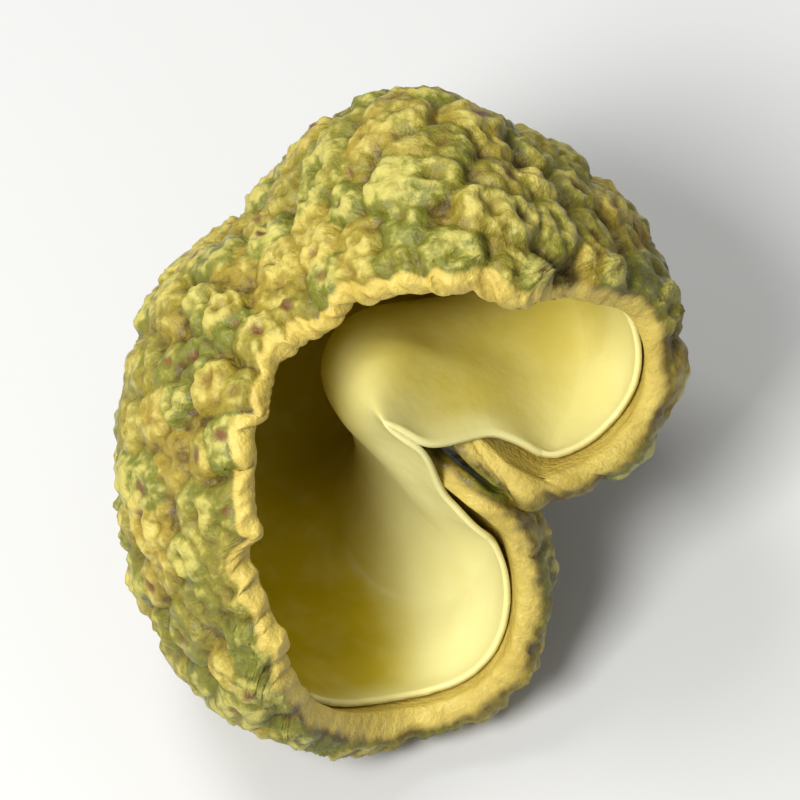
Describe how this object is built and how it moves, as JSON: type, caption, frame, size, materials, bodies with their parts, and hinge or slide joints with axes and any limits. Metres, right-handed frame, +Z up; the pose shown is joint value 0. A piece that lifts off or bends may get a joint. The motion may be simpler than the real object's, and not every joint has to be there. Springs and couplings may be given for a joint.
{
  "type": "green sichuan peppercorn",
  "caption": "Dried, split and empty husk of a green sichuan peppercorn: warty olive outside, deep cleft, wide heart-shaped mouth and a loose pale smooth lining.",
  "frame": {"origin": "middle of the small flat spot that the husk rests on", "axes": "+Z up out of the resting plane, +Y away from the viewer of the picture, +X to their right; the mouth faces -Y, a little to +X, and up"},
  "size_m": [0.0053, 0.0057, 0.0059],
  "materials": {
    "husk": null,
    "lining": null
  },
  "bodies": {
    "root": {"husk": "husk", "lining": "lining"}
  },
  "joints": []
}
